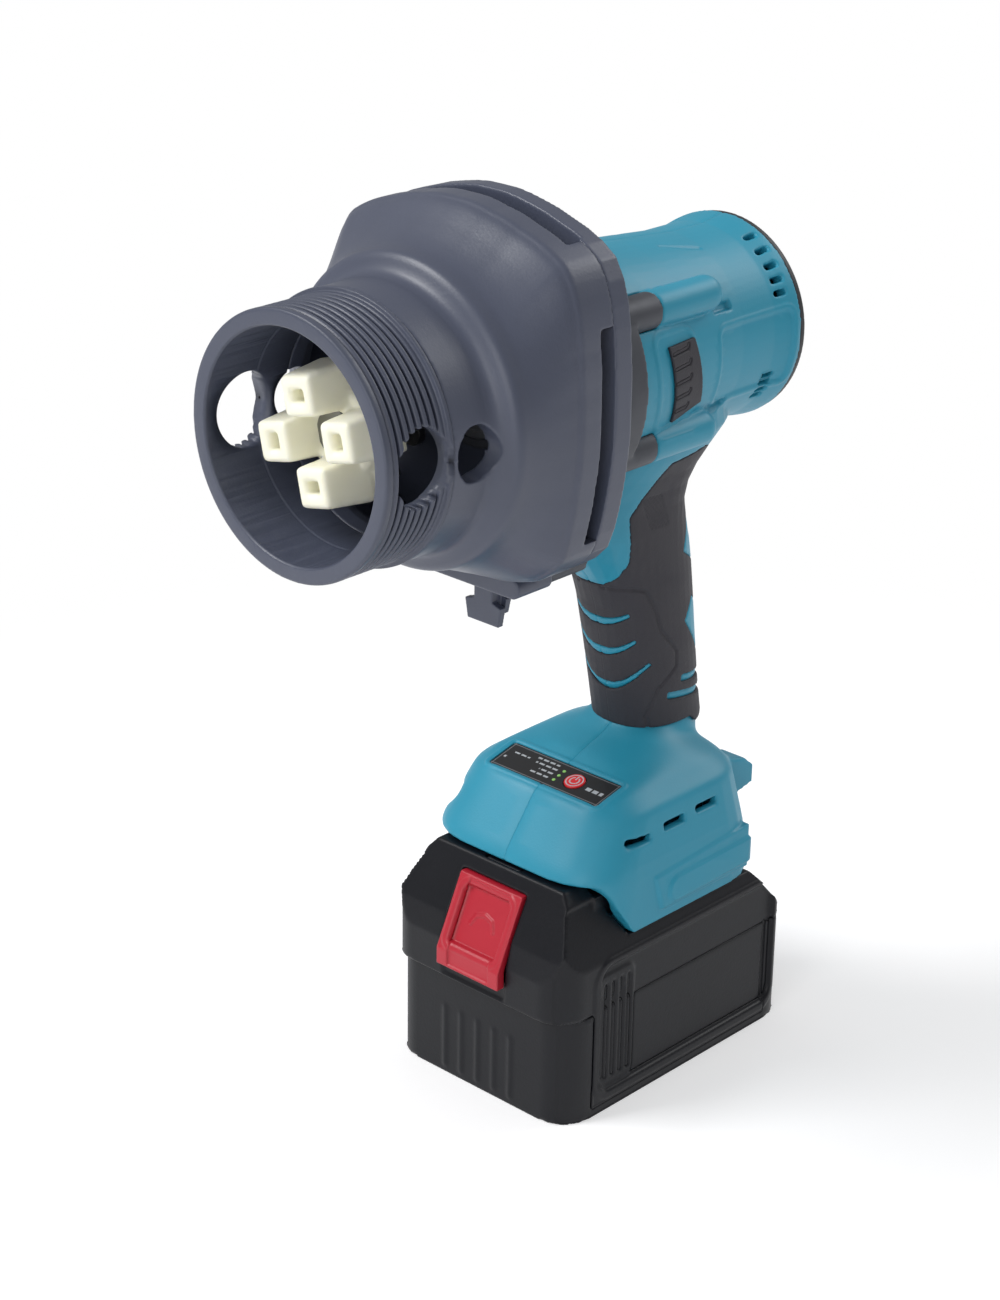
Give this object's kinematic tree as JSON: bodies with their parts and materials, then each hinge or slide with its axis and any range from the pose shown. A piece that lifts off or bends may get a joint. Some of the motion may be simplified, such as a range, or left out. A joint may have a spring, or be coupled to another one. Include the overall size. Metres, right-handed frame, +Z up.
{
  "type": "handheld battery rotary drive tool",
  "caption": "Pistol-grip battery rotary drive head with a domed cover, an open threaded collar with side windows, a socketed driver, a planetary motor drive and a slide-on battery pack.",
  "frame": {"origin": "centre of the underside of the battery pack, on the surface that it stands on", "axes": "+Z up, -Y along the drive axis towards the collar's mouth, X normal to the plane that parts the housing halves"},
  "size_m": [0.0978, 0.1856, 0.2888],
  "materials": {
    "collar_grey": "moulded satin",
    "cover_grey": "moulded satin",
    "case_grey": "moulded satin",
    "teal": "fine moulded texture",
    "overmould": "soft overmould",
    "cream": "moulded, slightly translucent",
    "steel": "ground",
    "zinc": "zinc plated",
    "gear_steel": "sintered and hardened",
    "cast_alloy": "die cast",
    "lamination": "stacked sheet, varnished",
    "copper": "enamelled copper wire",
    "contact": "plated contact",
    "black_plastic": "moulded matte",
    "pack_black": "moulded matte",
    "red": "moulded satin",
    "lead_red": "wire insulation",
    "board": "solder resist",
    "panel": "printed panel",
    "light": "clear light pipe",
    "cell_wrap": "shrink wrap"
  },
  "bodies": {
    "tool": {"threaded_collar": "collar_grey", "front_cover": "cover_grey", "cover_screws": "zinc", "back_plate": "cover_grey", "hook_clip": "cover_grey", "output_bearing": "steel", "gear_case": "case_grey", "gear_case_screws": "zinc", "ring_gear": "gear_steel", "motor_plate": "cast_alloy", "motor_bearing": "steel", "stator_core": "lamination", "stator_windings": "copper", "rear_bearing": "steel", "rear_cap": "black_plastic", "housing_right": "teal", "housing_left": "teal", "housing_screws": "zinc", "grip_right": "overmould", "grip_left": "overmould", "side_pad_right": "overmould", "side_pad_left": "overmould", "motor_leads": "lead_red", "control_board": "board", "button_switch": "black_plastic", "label_panel": "panel", "indicator_lights": "light", "terminal_block": "black_plastic", "terminal_blades": "contact"},
    "output": {"socket_driver": "cream", "driver_screw": "zinc", "output_shaft": "steel", "planet_carrier": "gear_steel", "planet_pins": "steel"},
    "rotor": {"rotor_shaft": "steel", "rotor_core": "lamination", "rotor_magnets": "lamination", "cooling_fan": "black_plastic", "sun_gear": "gear_steel"},
    "planet_1": {"planet_gear_1": "gear_steel"},
    "planet_2": {"planet_gear_2": "gear_steel"},
    "planet_3": {"planet_gear_3": "gear_steel"},
    "power_key": {"power_button": "red"},
    "pack": {"pack_upper_case": "pack_black", "pack_lower_case": "pack_black", "pack_screws": "zinc", "battery_cells": "cell_wrap", "cell_straps": "contact", "pack_board": "board", "pack_contacts": "contact", "release_spring": "steel"},
    "release": {"release_button": "red"}
  },
  "joints": [
    {"name": "output_spin", "type": "hinge", "parent": "tool", "child": "output", "pos_m": [0, -0.06, 0.2315], "axis": [0, 1, 0], "continuous": true},
    {"name": "rotor_spin", "type": "hinge", "parent": "tool", "child": "rotor", "pos_m": [0, 0.01, 0.2315], "axis": [0, 1, 0], "continuous": true},
    {"name": "planet_spin_1", "type": "hinge", "parent": "output", "child": "planet_1", "pos_m": [0.015, -0.0394, 0.2315], "axis": [0, 1, 0], "continuous": true},
    {"name": "planet_spin_2", "type": "hinge", "parent": "output", "child": "planet_2", "pos_m": [-0.0075, -0.0394, 0.21851], "axis": [0, 1, 0], "continuous": true},
    {"name": "planet_spin_3", "type": "hinge", "parent": "output", "child": "planet_3", "pos_m": [-0.0075, -0.0394, 0.24449], "axis": [0, 1, 0], "continuous": true},
    {"name": "power_press", "type": "slide", "parent": "tool", "child": "power_key", "axis": [0, 0.225, -0.9744], "range_m": [0, 0.0006], "stiffness_N_per_m": 800, "springref_m": -0.0008},
    {"name": "pack_slide", "type": "slide", "parent": "tool", "child": "pack", "axis": [0, -1, 0], "range_m": [0, 0.09]},
    {"name": "release_press", "type": "slide", "parent": "pack", "child": "release", "axis": [0, 0, -1], "range_m": [0, 0.004], "stiffness_N_per_m": 900, "springref_m": -0.003, "deforming": ["release_spring"]}
  ],
  "couplings": [
    {"joint": "rotor_spin", "follows": "output_spin", "ratio": 5},
    {"joint": "planet_spin_1", "follows": "output_spin", "ratio": -2.6667},
    {"joint": "planet_spin_2", "follows": "output_spin", "ratio": -2.6667},
    {"joint": "planet_spin_3", "follows": "output_spin", "ratio": -2.6667}
  ]
}
